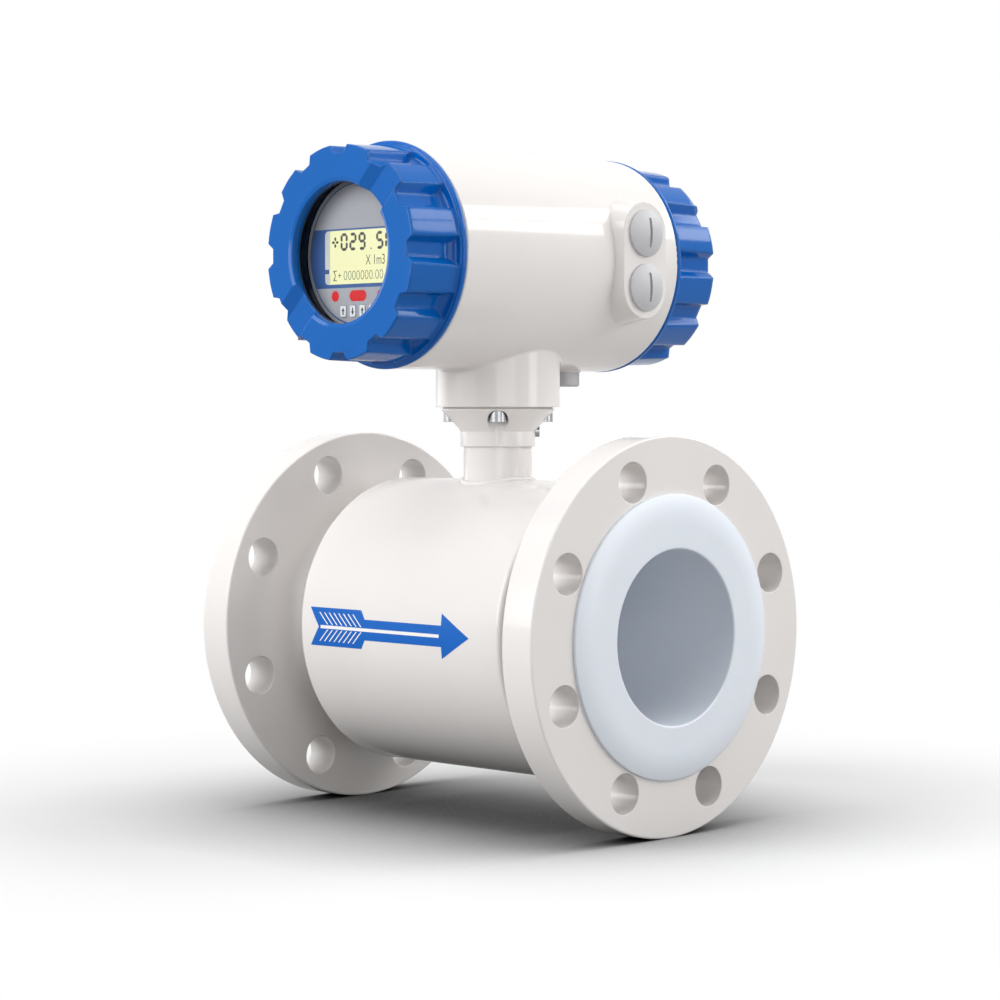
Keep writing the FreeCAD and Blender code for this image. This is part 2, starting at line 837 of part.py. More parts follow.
def window_cut():
    # Dished mouth, rounded lip, and the glass seat behind the lip.
    lip = window_diameter / 2
    seat_front = cover_face - window_lip
    seat_back = seat_front - window_gasket_thickness - glass_thickness - retainer_thickness
    lip_start = cover_face - window_dish_depth
    outer = lip + window_rounding
    inset = window_rounding * (1 - math.sqrt(0.5))
    mid = Vector(lip + inset, -(lip_start - inset), 0)
    spots = {
        "axis_back": Vector(0, -(seat_back - overshoot), 0),
        "seat_rim_back": Vector(glass_seat_diameter / 2, -(seat_back - overshoot), 0),
        "seat_rim": Vector(glass_seat_diameter / 2, -seat_front, 0),
        "lip_back": Vector(lip, -seat_front, 0),
        "lip_front": Vector(lip, -(lip_start - window_rounding), 0),
        "round_end": Vector(outer, -lip_start, 0),
        "dish_end": Vector(outer + window_dish_width, -cover_face, 0),
        "clear": Vector(outer + window_dish_width, -(cover_face + overshoot), 0),
        "axis_front": Vector(0, -(cover_face + overshoot), 0),
    }
    order = list(spots)
    edges = []
    for first, second in zip(order, order[1:] + order[:1]):
        start = housing_centre + spots[first]
        stop = housing_centre + spots[second]
        if first == "lip_front":
            edges.append(Part.Arc(start, housing_centre + mid, stop).toShape())
        else:
            edges.append(Part.makeLine(start, stop))
    face = Part.Face(Part.Wire(edges))
    return face.revolve(housing_centre, AXES["Y"][0], 360)


def front_cover():
    seat_back = cover_face - window_lip - window_gasket_thickness - glass_thickness - retainer_thickness
    blank = cover_blank(seat_back)
    return fluted(blank).cut(window_cut())


def rear_cover():
    cover = fluted(cover_blank(cover_face - cover_end_thickness))
    return cover.mirror(housing_centre, Vector(0, 1, 0))


def cover_seal(axis):
    section = cover_seal_section / 2
    middle = spigot_radius + cover_seal_gap + section
    along, outward = AXES[axis]
    centre = housing_centre + along * (cover_start - 2 * cover_seal_gap - section)
    return Part.makeTorus(middle, section, centre, along)


def window_gasket():
    start = cover_face - window_lip
    end = start - window_gasket_thickness
    return ring(window_diameter / 2, glass_diameter / 2, end, start, FRONT, housing_centre)


def window_glass():
    start = cover_face - window_lip - window_gasket_thickness
    return rod(glass_diameter / 2, start - glass_thickness, start, FRONT, housing_centre)


def window_retainer():
    start = cover_face - window_lip - window_gasket_thickness - glass_thickness
    outer = glass_seat_diameter / 2 - screw_fit
    return ring(retainer_bore_diameter / 2, outer, start - retainer_thickness, start, FRONT, housing_centre)


# Display

def on_fascia(x, drop, back):
    # Point on the display: sideways, below the axis, and back from the fascia's front.
    return housing_centre + Vector(x, -(fascia_front - back), -drop)


def key_positions():
    first = -(key_count - 1) * key_pitch / 2
    return [first + key_pitch * index for index in range(key_count)]


def display_fascia():
    plate = rod(fascia_diameter / 2, fascia_back, fascia_front, FRONT, housing_centre)
    middle = fascia_thickness / 2
    deep = fascia_thickness * 3
    lens = rounded_block((lens_width, deep, lens_height), on_fascia(0, lens_drop, middle), lens_corner, "Y")
    plate = plate.cut(lens)
    for x in key_positions():
        size = (key_width + 2 * key_gap, deep, key_height + 2 * key_gap)
        plate = plate.cut(rounded_block(size, on_fascia(x, key_drop, middle), key_corner + key_gap, "Y"))
    return plate.cut(group(indicator_solids(deep)))


def indicator_solids(depth):
    middle = fascia_thickness / 2
    radius = window_height / 2
    long_size = (long_window_width, depth, window_height)
    solids = [rounded_block(long_size, on_fascia(0, window_drop, middle), radius * 0.98, "Y")]
    for x in (-window_pitch, window_pitch):
        centre = on_fascia(x, window_drop, middle)
        solids.append(Part.makeCylinder(radius, depth, centre - Vector(0, depth / 2, 0), Vector(0, 1, 0)))
    return solids


def indicator_windows():
    return group(indicator_solids(fascia_thickness))


def display_lens():
    depth = fascia_thickness + lens_lift
    size = (lens_width, depth, lens_height)
    middle = on_fascia(0, lens_drop, fascia_thickness - depth / 2)
    return rounded_block(size, middle, lens_corner, "Y")


def lcd_panel():
    front = fascia_thickness
    middle = on_fascia(0, lens_drop, front + lcd_thickness / 2)
    return block((lcd_width, lcd_thickness, lcd_height), middle)


def display_tray():
    # Shallow cup behind the fascia that holds the panel, the keys and the board.
    front = fascia_back
    back = front - tray_depth
    inner = tray_diameter / 2 - tray_wall
    outline = [
        (back, 0),
        (back, tray_diameter / 2),
        (front, tray_diameter / 2),
        (front, inner),
        (back + tray_floor, inner),
        (back + tray_floor, 0),
    ]
    return turned(outline, FRONT, housing_centre)


def display_board():
    start = lcd_back() - board_thickness
    return rod(display_board_diameter / 2, start, lcd_back(), FRONT, housing_centre)


def lcd_back():
    return fascia_back - lcd_thickness


def display_pillars():
    # Posts that carry the display board on the floor of its tray.
    start = fascia_back - tray_depth + tray_floor
    end = lcd_back() - board_thickness
    offset = Vector(display_board_diameter / 2 - pillar_inset, 0, 0)
    pillar = rod(pillar_diameter / 2, start, end, FRONT, housing_centre + offset)
    return group(repeated(pillar, pillar_count, pillar_first_angle, FRONT, housing_centre))


def key_cap(x):
    length = key_lift + key_length
    middle = on_fascia(x, key_drop, length / 2 - key_lift)
    return rounded_block((key_width, length, key_height), middle, key_corner, "Y")


# Electronics

def circuit_board(position):
    return rod(board_diameter / 2, position, position + board_thickness, "Y", housing_centre)


def standoffs():
    tray_back = -(fascia_back - tray_depth)
    spans = [
        (tray_back, main_board_position),
        (main_board_position + board_thickness, power_board_position),
        (power_board_position + board_thickness, partition_position),
    ]
    offset = Vector(0, 0, standoff_circle / 2)
    solids = []
    for start, end in spans:
        post = rod(standoff_diameter / 2, start, end, "Y", housing_centre + offset)
        solids.extend(repeated(post, standoff_count, 0.0, "Y", housing_centre))
    return group(solids)


def power_transformer():
    front = power_board_position
    size = transformer_size
    return block(size, housing_centre + Vector(0, front - size[1] / 2, transformer_rise))


def capacitors():
    solids = []
    for index in (-1, 0, 1):
        centre = housing_centre + Vector(index * capacitor_pitch, 0, -capacitor_drop)
        start = power_board_position - capacitor_length
        solids.append(rod(capacitor_diameter / 2, start, power_board_position, "Y", centre))
    return group(solids)


def signal_shield():
    size = shield_size
    return block(size, housing_centre + Vector(0, main_board_position - size[1] / 2, 0))


def cable_offset():
    return -(power_board_position + board_thickness + cable_connector_size[1] / 2)


def cable_connector():
    low = housing_height - board_diameter / 2 + cable_connector_rise
    size = cable_connector_size
    return block(size, Vector(0, -cable_offset(), low + size[2] / 2))


def sensor_cable():
    low = core_top_radius + magnet_fit
    top = housing_height - board_diameter / 2 + cable_connector_rise
    return rod(cable_diameter / 2, low, top, "Z", Vector(0, -cable_offset(), 0))


def terminal_x(index):
    return (index - (terminal_count - 1) / 2) * terminal_pitch


def terminal_block():
    width = terminal_count * terminal_pitch + 2 * terminal_block_margin
    middle = housing_centre + Vector(0, partition_end + terminal_block_depth / 2, 0)
    body = block((width, terminal_block_depth, terminal_block_height), middle)
    return body.cut(group(terminal_solids(terminal_screw_diameter / 2 + screw_fit, terminal_screw_recess + overshoot)))


def terminal_solids(radius, extra):
    # Rods in two rows: the screws themselves, or with extra length the wells they sit in.
    head = partition_end + terminal_block_depth - terminal_screw_recess
    foot = head - terminal_screw_length
    solids = []
    for index in range(terminal_count):
        for row in (-0.5, 0.5):
            centre = housing_centre + Vector(terminal_x(index), 0, row * terminal_row_pitch)
            solids.append(rod(radius, foot, head + extra, "Y", centre))
    return solids


def terminal_screws():
    return group(terminal_solids(terminal_screw_diameter / 2, 0))


def pieces():
    made = {
        "measuring_tube": measuring_tube(),
        "liner": liner(),
        "inlet_flange": flange(-1),
        "outlet_flange": flange(1),
        "coil_housing_shell": coil_housing_shell(),
        "inlet_end_plate": coil_housing_end(-1),
        "outlet_end_plate": coil_housing_end(1),
        "upper_pole_piece": pole_piece(1),
        "lower_pole_piece": pole_piece(-1),
        "upper_coil": coil(1),
        "lower_coil": coil(-1),
        "magnet_yoke": magnet_yoke(),
        "electrodes": group([electrode(-1), electrode(1)]),
        "electrode_bushes": group([electrode_bush(-1), electrode_bush(1)]),
        "electrode_nuts": group([electrode_nut(-1), electrode_nut(1)]),
        "neck_pipe": neck_pipe(),
        "neck_adapter": neck_adapter(),
        "neck_screws": neck_screws(),
        "neck_gasket": neck_gasket(),
        "neck_lock_screw": neck_lock_screw(),
        "converter_housing": converter_housing(),
        "upper_conduit_plug": conduit_plug(1),
        "lower_conduit_plug": conduit_plug(-1),
        "conduit_plug_seals": plug_seals(),
        "earth_terminal": earth_terminal(),
        "front_cover": front_cover(),
        "front_cover_seal": cover_seal(FRONT),
        "window_gasket": window_gasket(),
        "window_glass": window_glass(),
        "window_retainer": window_retainer(),
        "rear_cover": rear_cover(),
        "rear_cover_seal": cover_seal(REAR),
        "display_fascia": display_fascia(),
        "indicator_windows": indicator_windows(),
        "display_lens": display_lens(),
        "lcd_panel": lcd_panel(),
        "display_tray": display_tray(),
        "display_board": display_board(),
        "display_pillars": display_pillars(),
        "main_board": circuit_board(main_board_position),
        "power_board": circuit_board(power_board_position),
        "board_standoffs": standoffs(),
        "power_transformer": power_transformer(),
        "capacitors": capacitors(),
        "signal_shield": signal_shield(),
        "cable_connector": cable_connector(),
        "sensor_cable": sensor_cable(),
        "terminal_block": terminal_block(),
        "terminal_screws": terminal_screws(),
    }
    for index, x in enumerate(key_positions()):
        made["display_key_%d" % (index + 1)] = key_cap(x)
    return made


os.makedirs("parts", exist_ok=True)
for node, shape in pieces().items():
    shape.exportStep("parts/%s.step" % node)
    print(node, "solids", len(shape.Solids), "valid", shape.isValid(), "volume", round(shape.Volume))
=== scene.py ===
import json
import math

import bpy
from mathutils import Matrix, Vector


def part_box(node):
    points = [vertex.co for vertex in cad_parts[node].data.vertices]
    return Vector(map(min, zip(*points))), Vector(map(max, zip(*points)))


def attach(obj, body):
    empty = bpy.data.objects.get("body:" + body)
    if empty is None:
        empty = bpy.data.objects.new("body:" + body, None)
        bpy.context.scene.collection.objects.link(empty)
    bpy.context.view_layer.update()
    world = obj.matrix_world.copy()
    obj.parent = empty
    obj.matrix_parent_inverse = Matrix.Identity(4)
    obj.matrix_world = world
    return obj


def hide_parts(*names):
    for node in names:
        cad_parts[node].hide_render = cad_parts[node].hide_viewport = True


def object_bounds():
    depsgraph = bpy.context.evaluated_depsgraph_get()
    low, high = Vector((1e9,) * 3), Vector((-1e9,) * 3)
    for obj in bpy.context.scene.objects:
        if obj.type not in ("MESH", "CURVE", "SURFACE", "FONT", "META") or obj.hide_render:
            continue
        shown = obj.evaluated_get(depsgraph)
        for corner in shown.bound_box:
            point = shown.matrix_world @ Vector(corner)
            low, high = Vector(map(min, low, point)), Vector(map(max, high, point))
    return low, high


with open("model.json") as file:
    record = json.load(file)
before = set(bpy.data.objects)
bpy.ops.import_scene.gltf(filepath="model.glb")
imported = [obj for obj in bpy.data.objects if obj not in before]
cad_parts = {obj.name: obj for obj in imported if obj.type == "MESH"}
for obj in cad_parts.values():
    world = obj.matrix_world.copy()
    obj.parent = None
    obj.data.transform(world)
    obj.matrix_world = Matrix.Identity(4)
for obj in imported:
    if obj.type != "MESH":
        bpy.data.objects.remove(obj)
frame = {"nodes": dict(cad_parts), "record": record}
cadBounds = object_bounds()  # the CAD model's own box
mm = 0.001
print("frame loaded:", len(frame["nodes"]), "nodes")

# Places read from the frame
coverLow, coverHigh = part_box("front_cover")
axisHeight = (coverLow.z + coverHigh.z) / 2  # the converter's axis, which runs along y
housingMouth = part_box("converter_housing")[1].y
shellLow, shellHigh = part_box("coil_housing_shell")
drumRadius = (shellHigh.y - shellLow.y) / 2
pipeLow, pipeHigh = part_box("neck_pipe")
pipeRadius = (pipeHigh.x - pipeLow.x) / 2
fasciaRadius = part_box("display_fascia")[1].x
lensLow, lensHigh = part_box("display_lens")
floorHeight = cadBounds[0].z

# A Mix node's sockets when it mixes two colours
mixShare, mixFirst, mixSecond, mixResult = 0, 6, 7, 2


def linear(hexText):  # an sRGB hex colour as linear numbers
    channels = [int(hexText[i:i + 2], 16) / 255 for i in (1, 3, 5)]
    return [c / 12.92 if c <= 0.04045 else ((c + 0.055) / 1.055) ** 2.4 for c in channels] + [1.0]


def addNode(tree, kind, settings=None, inputs=None, give=0):  # adds a node and gives one of its outputs
    node = tree.nodes.new(kind)
    for name, value in (settings or {}).items():
        setattr(node, name, value)
    for name, value in (inputs or {}).items():
        if isinstance(value, bpy.types.NodeSocket):
            tree.links.new(value, node.inputs[name])
        else:
            node.inputs[name].default_value = value
    return node.outputs[give]


def startMaterial(name, settings):  # a material whose shader has its own sockets set
    made = bpy.data.materials.new(name)
    made.use_nodes = True
    shader = made.node_tree.nodes["Principled BSDF"]
    for socket, value in settings.items():
        shader.inputs[socket].default_value = value
    return made, made.node_tree, shader


def plainFinish(name, look, settings):  # two close tones, a fine relief, and edges as soft as the real ones
    made, tree, shader = startMaterial(name, settings)
    place = addNode(tree, "ShaderNodeTexCoord", give="Object")
    patches = {"Vector": place, "Scale": 1 / look["cloud"], "Detail": 3.0}
    cloud = addNode(tree, "ShaderNodeTexNoise", {}, patches)
    tones = {mixShare: cloud, mixFirst: linear(look["colour"]), mixSecond: linear(look["shade"])}
    tone = addNode(tree, "ShaderNodeMix", {"data_type": "RGBA"}, tones, mixResult)
    tree.links.new(tone, shader.inputs["Base Color"])
    specks = {"Vector": place, "Scale": 1 / look["grain"], "Detail": 2.0}
    grain = addNode(tree, "ShaderNodeTexNoise", {}, specks)
    soft = look["edge"]
    if "crown" in look:  # the coat also crowns the narrow faces that run round the axis
        facing = addNode(tree, "ShaderNodeNewGeometry", give="True Normal")
        along = addNode(tree, "ShaderNodeSeparateXYZ", {}, {0: facing}, "Y")
        level = addNode(tree, "ShaderNodeMath", {"operation": "ABSOLUTE"}, {0: along})
        spread = {"Value": level, "From Min": look["crownFull"], "From Max": look["crownNone"],
                  "To Min": look["crown"], "To Max": look["edge"]}
        soft = addNode(tree, "ShaderNodeMapRange", {}, spread)
    edge = addNode(tree, "ShaderNodeBevel", {"samples": 8}, {"Radius": soft})
    relief = {"Strength": 0.6, "Distance": look["depth"], "Height": grain, "Normal": edge}
    normal = addNode(tree, "ShaderNodeBump", {}, relief)
    tree.links.new(normal, shader.inputs["Normal"])
    return made, tree, shader, place, tone, normal


def aroundAxis(tree, place):  # places measured from the converter's axis, and how far they are from it
    onAxis = (0, 0, axisHeight)
    centred = addNode(tree, "ShaderNodeVectorMath", {"operation": "SUBTRACT"}, {0: place, 1: onAxis})
    axes = addNode(tree, "ShaderNodeSeparateXYZ", {}, {0: centred}).node.outputs
    flat = addNode(tree, "ShaderNodeCombineXYZ", {}, {0: axes["X"], 1: axes["Z"]})
    return axes, addNode(tree, "ShaderNodeVectorMath", {"operation": "LENGTH"}, {0: flat}, "Value")


def addThread(finish, bare):  # bare metal with a screw thread, where one casting screws into the other
    made, tree, shader, place, tone, normal = finish
    axes, radius = aroundAxis(tree, place)
    along = addNode(tree, "ShaderNodeMath", {"operation": "ABSOLUTE"}, {0: axes["Y"]})
    before = addNode(tree, "ShaderNodeMath", {"operation": "LESS_THAN"}, {0: along, 1: bare["end"]})
    beyond = addNode(tree, "ShaderNodeMath", {"operation": "GREATER_THAN"}, {0: along, 1: bare["start"]})
    within = addNode(tree, "ShaderNodeMath", {"operation": "LESS_THAN"}, {0: radius, 1: bare["radius"]})
    zone = addNode(tree, "ShaderNodeMath", {"operation": "MULTIPLY"}, {0: before, 1: beyond})
    mask = addNode(tree, "ShaderNodeMath", {"operation": "MULTIPLY"}, {0: zone, 1: within})
    turn = addNode(tree, "ShaderNodeMath", {"operation": "ARCTAN2"}, {0: axes["X"], 1: axes["Z"]})
    rise = bare["pitch"] / (2 * math.pi)
    lead = addNode(tree, "ShaderNodeMath", {"operation": "MULTIPLY"}, {0: turn, 1: rise})
    climb = addNode(tree, "ShaderNodeMath", {"operation": "ADD"}, {0: axes["Y"], 1: lead})
    flank = addNode(tree, "ShaderNodeMath", {"operation": "PINGPONG"}, {0: climb, 1: bare["pitch"] / 2})
    height = addNode(tree, "ShaderNodeMath", {"operation": "MULTIPLY"}, {0: flank, 1: mask})
    relief = {"Strength": 1.0, "Distance": bare["depth"], "Height": height, "Normal": normal}
    thread = addNode(tree, "ShaderNodeBump", {}, relief)
    tree.links.new(thread, shader.inputs["Normal"])
    tones = {mixShare: mask, mixFirst: tone, mixSecond: linear(bare["colour"])}
    metal = addNode(tree, "ShaderNodeMix", {"data_type": "RGBA"}, tones, mixResult)
    tree.links.new(metal, shader.inputs["Base Color"])
    return made


def offWhiteEnamel():
    # sprayed enamel on cast and welded steel: nearly white, smooth and softly glossy, with rounded edges;
    # its orange peel is about 1 mm apart, and is drawn 3 mm apart so that it shows
    look = {"colour": "#e7e4e2", "shade": "#e0dcd9", "cloud": 70 * mm, "grain": 3 * mm, "depth": 0.006 * mm,
            "edge": 0.9 * mm}
    return plainFinish("offWhiteEnamel", look, {"Roughness": 0.12, "IOR": 1.5, "Specular IOR Level": 0.4})


def housingEnamel():
    # the same enamel on the converter's casting, whose mouths are turned and threaded bare
    finish = offWhiteEnamel()
    finish[0].name = "offWhiteCastingEnamel"
    bare = {"start": housingMouth - 16 * mm, "end": housingMouth - 0.3 * mm, "radius": 54.6 * mm,
            "pitch": 3 * mm, "depth": 0.7, "colour": "#b9babb"}
    return addThread(finish, bare)


def blueEnamel():
    # sprayed enamel on die cast aluminium: deep clear blue and glossy, bare and threaded on the covers' spigots
    look = {"colour": "#0060b4", "shade": "#005aaa", "cloud": 30 * mm, "grain": 2 * mm, "depth": 0.004 * mm,
            "edge": 0.5 * mm, "crown": 3.0 * mm, "crownFull": 0.3, "crownNone": 0.5}
    finish = plainFinish("blueEnamel", look, {"Roughness": 0.09, "IOR": 1.4, "Specular IOR Level": 0.3})
    bare = {"start": housingMouth - 18 * mm, "end": housingMouth + 0.1 * mm, "radius": 54.2 * mm,
            "pitch": 3 * mm, "depth": 0.7, "colour": "#b9babb"}
    return addThread(finish, bare)


def clearGlass():
    # toughened float glass with a coat against glare: clear, with a weak sharp reflection on its near side
    glass = {"ior": 1.5, "mirror": 0.35, "roughness": 0.02}
    made, tree, shader = startMaterial("toughenedGlass", {})
    fresnel = addNode(tree, "ShaderNodeFresnel", {}, {"IOR": glass["ior"]})
    weak = addNode(tree, "ShaderNodeMath", {"operation": "MULTIPLY"}, {0: fresnel, 1: glass["mirror"]})
    behind = addNode(tree, "ShaderNodeNewGeometry", give="Backfacing")
    nearSide = {"operation": "MULTIPLY_ADD", "use_clamp": True}
    share = addNode(tree, "ShaderNodeMath", nearSide, {0: behind, 1: -1.0, 2: weak})
    clear = addNode(tree, "ShaderNodeBsdfTransparent")
    gloss = addNode(tree, "ShaderNodeBsdfAnisotropic", {}, {"Roughness": glass["roughness"]})
    mixed = addNode(tree, "ShaderNodeMixShader", {}, {0: share, 1: clear, 2: gloss})
    tree.links.new(mixed, tree.nodes["Material Output"].inputs["Surface"])
    tree.nodes.remove(shader)
    return made


def litCrystal():
    # backlit liquid crystal: pale yellow-green light, even but for slow changes of tone
    crystal = {"cloud": 12 * mm, "colour": "#feffc8", "shade": "#fbfcbc", "unlit": "#2b2c20", "light": 0.84}
    settings = {"Roughness": 0.25, "Base Color": linear(crystal["unlit"]),
                "Emission Strength": crystal["light"]}
    made, tree, shader = startMaterial("backlitCrystal", settings)
    place = addNode(tree, "ShaderNodeTexCoord", give="Object")
    patches = {"Vector": place, "Scale": 1 / crystal["cloud"], "Detail": 1.0}
    cloud = addNode(tree, "ShaderNodeTexNoise", {}, patches)
    tones = {mixShare: cloud, mixFirst: linear(crystal["colour"]), mixSecond: linear(crystal["shade"])}
    tone = addNode(tree, "ShaderNodeMix", {"data_type": "RGBA"}, tones, mixResult)
    tree.links.new(tone, shader.inputs["Emission Color"])
    return made


def printedFilm():
    # screen printed polyester film: silver-grey with a fine sparkle, a dark blue band and a thin blue circle
    look = {"colour": "#a2a4ab", "shade": "#999ba2", "cloud": 0.8 * mm, "grain": 0.5 * mm, "depth": 0.004 * mm,
            "edge": 0.2 * mm}
    band = {"ink": "#24508f", "circle": fasciaRadius - 2.6 * mm, "line": 0.42 * mm, "top": 14.5 * mm,
            "bottom": -19 * mm}  # its heights are from the axis
    finish = plainFinish("printedFilm", look, {"Roughness": 0.45, "Specular IOR Level": 0.3})
    made, tree, shader, place, tone = finish[:5]
    axes, radius = aroundAxis(tree, place)
    circle = {0: radius, 1: band["circle"], 2: band["line"]}
    onLine = addNode(tree, "ShaderNodeMath", {"operation": "COMPARE"}, circle)
    within = addNode(tree, "ShaderNodeMath", {"operation": "LESS_THAN"}, {0: radius, 1: band["circle"]})
    middle = (band["top"] + band["bottom"]) / 2
    reach = (band["top"] - band["bottom"]) / 2
    across = addNode(tree, "ShaderNodeMath", {"operation": "COMPARE"}, {0: axes["Z"], 1: middle, 2: reach})
    inBand = addNode(tree, "ShaderNodeMath", {"operation": "MULTIPLY"}, {0: within, 1: across})
    inked = addNode(tree, "ShaderNodeMath", {"operation": "MAXIMUM"}, {0: onLine, 1: inBand})
    tones = {mixShare: inked, mixFirst: tone, mixSecond: linear(band["ink"])}
    printed = addNode(tree, "ShaderNodeMix", {"data_type": "RGBA"}, tones, mixResult)
    tree.links.new(printed, shader.inputs["Base Color"])
    return made


def simpleFinish(name, colour, shade, grain, depth, roughness, metallic=0.0, edge=0.3 * mm, **more):
    # a finish with its own grain, whose patches of tone are twenty grains wide
    look = {"colour": colour, "shade": shade, "cloud": 20 * grain, "grain": grain, "depth": depth, "edge": edge}
    settings = {"Roughness": roughness, "Metallic": metallic}
    settings.update({socket.replace("_", " "): value for socket, value in more.items()})
    return plainFinish(name, look, settings)[0]


def makeMaterials():
    white = offWhiteEnamel()[0]
    finishes = {
        "housing_paint": white,
        "cover_paint": blueEnamel(),
        # moulded fluoropolymer: waxy, bluish white, light goes a little way in
        "liner_ptfe": simpleFinish("mouldedFluoropolymer", "#e3e8f0", "#dce2ea", 2 * mm, 0.02 * mm, 0.36,
                                   edge=1.2 * mm, Subsurface_Weight=0.1, Subsurface_Scale=4 * mm),
        "tube_steel": white,
        # machined soft iron: grey, with fine tool marks
        "magnet_iron": simpleFinish("machinedIron", "#a3a4a6", "#8f9092", 0.4 * mm, 0.01 * mm, 0.4, 1.0),
        # wound enamelled wire: copper under clear lacquer, uneven from wire to wire
        "coil_copper": simpleFinish("enamelledCopperWinding", "#c06a35", "#a85a2b", 0.8 * mm, 0.1 * mm, 0.3,
                                    1.0),
        # turned and polished stainless steel: bright, with faint tool marks
        "stainless": simpleFinish("turnedStainless", "#a2a3a5", "#96979a", 0.3 * mm, 0.004 * mm, 0.25, 1.0),
        # turned fluoropolymer: warm white and matte
        "insulator": simpleFinish("turnedFluoropolymer", "#eceae4", "#e2dfd7", 0.5 * mm, 0.01 * mm, 0.5),
        # moulded rubber: nearly black, dull
        "seal_rubber": simpleFinish("mouldedRubber", "#19191b", "#101012", 0.5 * mm, 0.02 * mm, 0.6),
        # satin nickel plate on brass: pale grey, half matte
        "plug_metal": simpleFinish("satinNickelPlate", "#bdbdc0", "#b4b4b7", 0.4 * mm, 0.006 * mm, 0.55, 0.1),
        "window_glass": clearGlass(),
        # moulded black plastic: glossy, nearly black
        "black_plastic": simpleFinish("mouldedBlackPlastic", "#030d1f", "#020814", 1 * mm, 0.005 * mm, 0.16,
                                      Specular_IOR_Level=0.25),
        "fascia_film": printedFilm(),
        # moulded acrylic over red lamps: clear bright red
        "red_window": simpleFinish("redAcrylic", "#d6080f", "#cc060c", 1 * mm, 0.005 * mm, 0.2,
                                   Specular_IOR_Level=0.25),
        "display_lens": litCrystal(),
        # moulded acetal: cool white, a dull shine
        "key_plastic": simpleFinish("whiteAcetal", "#e0e3e5", "#d4d7da", 0.5 * mm, 0.01 * mm, 0.35),
        # solder mask on glass laminate: dark green, slightly glossy
        "circuit_board": simpleFinish("solderMask", "#14663a", "#0f5630", 1 * mm, 0.02 * mm, 0.35),
        # cast potting resin: dark grey, matte
        "component_grey": simpleFinish("pottedComponent", "#56575b", "#4b4c50", 0.5 * mm, 0.03 * mm, 0.5),
        # extruded cable sheath: charcoal, dull
        "cable_sheath": simpleFinish("extrudedSheath", "#2a2a2c", "#222224", 0.5 * mm, 0.02 * mm, 0.55),
    }
    for part in frame["record"]["subparts"]:
        frame["nodes"][part["node"]].material_slots[0].material = finishes[part["material_slot"]]
    frame["nodes"]["converter_housing"].material_slots[0].material = housingEnamel()
    return finishes


def clearSelection():
    bpy.ops.object.select_all(action="DESELECT")


def takeUp(piece):  # the piece alone is selected and active
    clearSelection()
    piece.select_set(True)
    bpy.context.view_layer.objects.active = piece


def pick(piece, wanted):  # selects in edit mode the points whose place passes
    bpy.ops.object.mode_set(mode="OBJECT")
    mesh = piece.data
    for point in mesh.vertices:
        point.select = wanted(point.co)
    for part in (*mesh.edges, *mesh.polygons):
        part.select = all(mesh.vertices[i].select for i in part.vertices)
    bpy.ops.object.mode_set(mode="EDIT")


def applyModifier(piece, kind, settings):
    takeUp(piece)
    modifier = piece.modifiers.new(kind.lower(), kind)
    for name, value in settings.items():
        setattr(modifier, name, value)
    bpy.ops.object.modifier_apply(modifier=modifier.name)


def placePiece(piece, name, material, body, smooth=30):
    # its place applied, edges blunter than so many degrees smoothed, its finish given, fixed to its body
    takeUp(piece)
    bpy.ops.object.transform_apply(location=True, rotation=True, scale=True)
    if smooth:
        bpy.ops.object.shade_smooth_by_angle(angle=math.radians(smooth))
    piece.name = name
    piece.data.name = name
    piece.data.materials.clear()
    piece.data.materials.append(material)
    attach(piece, body)


def flatPiece(outlines, front, thickness):  # closed outlines in x and z, stood up at y = front and thickened
    curve = bpy.data.curves.new("outline", "CURVE")
    curve.dimensions = "2D"
    curve.fill_mode = "BOTH"
    for outline in outlines:
        line = curve.splines.new("POLY")
        line.points.add(len(outline) - 1)
        for point, (x, z) in zip(line.points, outline):
            point.co = (x, z, 0, 1)
        line.use_cyclic_u = True
    piece = bpy.data.objects.new("outline", curve)
    bpy.context.scene.collection.objects.link(piece)
    takeUp(piece)
    bpy.ops.object.convert(target="MESH")
    piece = bpy.context.object
    piece.rotation_euler.x = math.radians(90)
    piece.location.y = front
    bpy.ops.object.transform_apply(location=True, rotation=True, scale=True)
    if thickness:
        applyModifier(piece, "SOLIDIFY", {"thickness": thickness, "offset": -1.0})
    return piece


def wrapOnDrum(piece, rows, lift, coat):  # cut in rows, laid on the drum's side and given the paint's thickness
    bpy.ops.object.mode_set(mode="EDIT")
    reach = int(max(abs(point.co.z) for point in piece.data.vertices) / rows)
    for row in range(-reach, reach + 1):
        bpy.ops.mesh.select_all(action="SELECT")
        bpy.ops.mesh.bisect(plane_co=(0, 0, row * rows), plane_no=(0, 0, 1))
    bpy.ops.object.mode_set(mode="OBJECT")
    wrap = {"target": frame["nodes"]["coil_housing_shell"], "wrap_method": "PROJECT", "use_project_y": True,
            "wrap_mode": "ABOVE_SURFACE", "offset": lift}
    applyModifier(piece, "SHRINKWRAP", wrap)
    applyModifier(piece, "SOLIDIFY", {"thickness": coat, "offset": 1.0})


